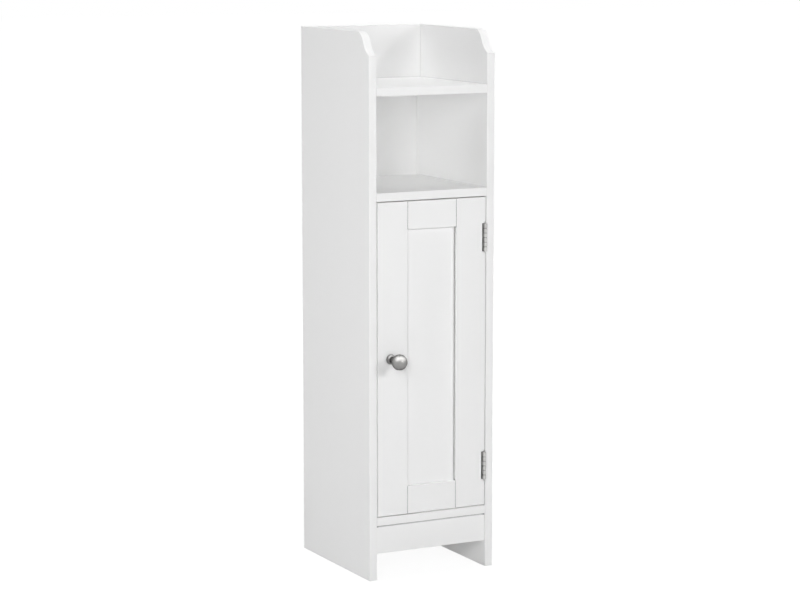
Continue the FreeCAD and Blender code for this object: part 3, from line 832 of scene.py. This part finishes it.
screwSets = {
    "hingeFrameScrewSet": {
        "node": "hinge_frame_screws", "body": "case", "headAlong": Vector((-1.0, 0.0, 0.0)),
        "head": "sunk", "headDepth": 0.001, "shankRadius": 0.00125,
    },
    "hingeDoorScrewSet": {
        "node": "hinge_door_screws", "body": "door", "headAlong": Vector((1.0, 0.0, 0.0)),
        "head": "sunk", "headDepth": 0.001, "shankRadius": 0.00125,
    },
    "strikeScrewSet": {
        "node": "strike_screws", "body": "door", "headAlong": Vector((0.0, 1.0, 0.0)),
        "head": "sunk", "headDepth": 0.001, "shankRadius": 0.0014,
    },
    "catchScrewSet": {
        "node": "catch_screws", "body": "case", "headAlong": Vector((0.0, 0.0, -1.0)),
        "head": "pan", "headDepth": 0.0018, "shankRadius": 0.0014,
    },
    "knobBackScrew": {
        "node": "knob_screw", "body": "door", "headAlong": Vector((0.0, 1.0, 0.0)),
        "head": "pan", "headDepth": 0.0024, "shankRadius": 0.002,
    },
}


def crossLoop(bm, radius):
    reach = radius * screwShape["armShare"]
    half = radius * screwShape["armWidthShare"]
    quarter = [(reach, -half), (reach, half), (half, half)]
    verts = []
    for turn in range(4):
        spun = Matrix.Rotation(turn * math.pi / 2, 2)
        verts += [bm.verts.new((*(spun @ Vector(corner)), 0.0)) for corner in quarter]
    return [bm.edges.new(pair) for pair in zip(verts, verts[1:] + verts[:1])]


def extrudeLoop(bm, edges, radiusShare, drop):
    made = bmesh.ops.extrude_edge_only(bm, edges=edges)["geom"]
    verts = [item for item in made if isinstance(item, bmesh.types.BMVert)]
    bmesh.ops.scale(bm, vec=(radiusShare, radiusShare, 1.0), verts=verts)
    bmesh.ops.translate(bm, vec=(0.0, 0.0, -drop), verts=verts)
    return [item for item in made if isinstance(item, bmesh.types.BMEdge)]


def addScrew(bm, top, headAlong, rings):
    # rings: the radius and the drop below the last ring
    screw = bmesh.new()
    last = rings[0][0]
    bmesh.ops.create_circle(screw, cap_ends=False, radius=last, segments=screwShape["segments"])
    rim = screw.edges[:]
    cross = crossLoop(screw, last)
    bmesh.ops.bridge_loops(screw, edges=rim + cross)
    foot = extrudeLoop(screw, cross, screwShape["footShare"], last * screwShape["recessShare"])
    bmesh.ops.edgeloop_fill(screw, edges=foot)
    for radius, drop in rings[1:]:
        rim = extrudeLoop(screw, rim, radius / last, drop)
        last = radius
    bmesh.ops.edgeloop_fill(screw, edges=rim)
    turned = Matrix.Translation(top) @ headAlong.to_track_quat("Z", "Y").to_matrix().to_4x4()
    bmesh.ops.transform(screw, matrix=turned, verts=screw.verts)
    spare = bpy.data.meshes.new("screwSpare")
    screw.to_mesh(spare)
    screw.free()
    bm.from_mesh(spare)
    bpy.data.meshes.remove(spare)


def setScrews(name, screws):
    bm = bmesh.new()
    headAlong = screws["headAlong"]
    axis = max(range(3), key=lambda index: abs(headAlong[index]))
    for low, high in islands(screws["node"]):
        size = high - low
        radii = {"head": (sum(size) - size[axis]) / 4, "shank": screws["shankRadius"]}
        lengths = {"head": screws["headDepth"], "shank": size[axis] - screws["headDepth"]}
        rings = [
            (radii[wide] * wideShare, lengths[along] * dropShare)
            for wide, wideShare, along, dropShare in screwRingShares[screws["head"]]
        ]
        top = (low + high) / 2
        top[axis] = (high if headAlong[axis] > 0 else low)[axis] + headAlong[axis] * screwShape["lift"]
        addScrew(bm, top, headAlong, rings)
    piece = finishPiece(name, bm, "screw_steel", screws["body"])
    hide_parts(screws["node"])


for name, screws in screwSets.items():
    setScrews(name, screws)
print("screws set")


# floor, world and lamps

studio = {
    "floorSize": 40.0,
    "floorTone": 0.76,  # what lights the cabinet from below
    "floorShade": 0.16,  # what shows its shadow
    "floorGlow": 0.9,  # near the cabinet; it rises to white over the reach
    "glowReach": (0.3, 1.0),
    "white": 1.0,  # the strength that renders as white
    "ambient": 0.03,
    "bounces": 24,  # white boards pass the light on many times
    "diffuseBounces": 16,
}

# each lamp is a soft oval that looks at the middle of the cabinet from its side
# lights says whether it lights the boards, shows in the metal, or does both
lamps = {
    "rightKey": {
        "side": (0.346, -0.883, 0.317), "distance": 2.2,
        "size": (0.5, 0.5), "energy": 11.6, "lights": "all",
    },
    "frontBox": {
        "side": (-0.512, -0.788, 0.342), "distance": 2.4,
        "size": (1.0, 1.0), "energy": 8.1, "lights": "boards",
    },
    "lowBox": {
        "side": (-0.536, -0.826, 0.174), "distance": 2.2,
        "size": (1.1, 1.1), "energy": 13.6, "lights": "boards",
    },
    "leftFill": {
        "side": (-0.959, 0.074, 0.27), "distance": 1.36,
        "size": (0.8, 0.8), "energy": 4.8, "lights": "boards",
    },
    "topBox": {
        "side": (0.0, 0.06, 1.0), "distance": 2.2,
        "size": (1.4, 1.4), "energy": 16.4, "lights": "boards",
    },
    "rightFill": {
        "side": (0.94, 0.22, 0.17), "distance": 2.2,
        "size": (1.2, 1.2), "energy": 17.0, "lights": "boards",
    },
    "rearBox": {
        "side": (0.12, 0.96, 0.22), "distance": 2.4,
        "size": (1.4, 1.4), "energy": 16.4, "lights": "boards",
    },
    "glintPanel": {
        "side": (0.02, -0.25, 0.968), "distance": 2.2,
        "size": (12.0, 3.2), "energy": 300.0, "lights": "metal",
    },
}


def joinShaders(tree, kind, *sources):
    node = tree.nodes.new(kind)
    for socket, source in zip(node.inputs, sources):
        tree.links.new(source, socket)
    return node.outputs[0]


def seenRays(tree):
    path = tree.nodes.new("ShaderNodeLightPath").outputs
    seen = addMath(tree, "MAXIMUM", path["Is Camera Ray"], path["Is Glossy Ray"])
    return addMath(tree, "MAXIMUM", seen, path["Is Transmission Ray"])


def makeFloor():
    bm = bmesh.new()
    bmesh.ops.create_grid(bm, x_segments=1, y_segments=1, size=studio["floorSize"] / 2)
    mesh = bpy.data.meshes.new("paleFloor")
    bm.to_mesh(mesh)
    bm.free()
    floor = bpy.data.objects.new("paleFloor", mesh)
    scene.collection.objects.link(floor)
    material = bpy.data.materials.new("paleFloor")
    material.use_nodes = True
    tree = material.node_tree
    tree.nodes.remove(tree.nodes["Principled BSDF"])
    plain = addNode(tree, "ShaderNodeBsdfDiffuse", Color=grey(studio["floorTone"])).outputs[0]
    faint = addNode(tree, "ShaderNodeBsdfDiffuse", Color=grey(studio["floorShade"])).outputs[0]
    away = addVector(tree, "LENGTH", objectPlace(tree), result="Value")
    lift = addRange(tree, away, studio["glowReach"], (studio["floorGlow"], studio["white"]))
    glow = addNode(tree, "ShaderNodeEmission", Strength=lift).outputs[0]
    shown = joinShaders(tree, "ShaderNodeAddShader", faint, glow)
    choice = joinShaders(tree, "ShaderNodeMixShader", seenRays(tree), plain, shown)
    tree.links.new(choice, tree.nodes["Material Output"].inputs["Surface"])
    mesh.materials.append(material)


def makeWorld():
    world = bpy.data.worlds.new("whiteStudio")
    scene.world = world
    world.use_nodes = True
    tree = world.node_tree
    tree.nodes.clear()
    light, shown = (
        addNode(tree, "ShaderNodeBackground", Color=grey(1.0), Strength=strength).outputs[0]
        for strength in (studio["ambient"], studio["white"])
    )
    choice = joinShaders(tree, "ShaderNodeMixShader", seenRays(tree), light, shown)
    tree.links.new(choice, tree.nodes.new("ShaderNodeOutputWorld").inputs["Surface"])


def hangLamp(name, lamp):
    data = bpy.data.lights.new(name, "AREA")
    data.shape = "ELLIPSE"
    data.size, data.size_y = lamp["size"]
    data.energy = lamp["energy"]
    side = Vector(lamp["side"]).normalized()
    hung = bpy.data.objects.new(name, data)
    hung.location = camera["target"] + side * lamp["distance"]
    hung.rotation_euler = side.to_track_quat("Z", "Y").to_euler()
    hung.visible_camera = False
    hung.visible_diffuse = lamp["lights"] != "metal"
    hung.visible_glossy = lamp["lights"] != "boards"
    scene.collection.objects.link(hung)


makeFloor()
makeWorld()
for name, lamp in lamps.items():
    hangLamp(name, lamp)
scene.view_settings.view_transform = "Standard"
scene.cycles.max_bounces = studio["bounces"]
scene.cycles.diffuse_bounces = studio["diffuseBounces"]
print("studio lit")
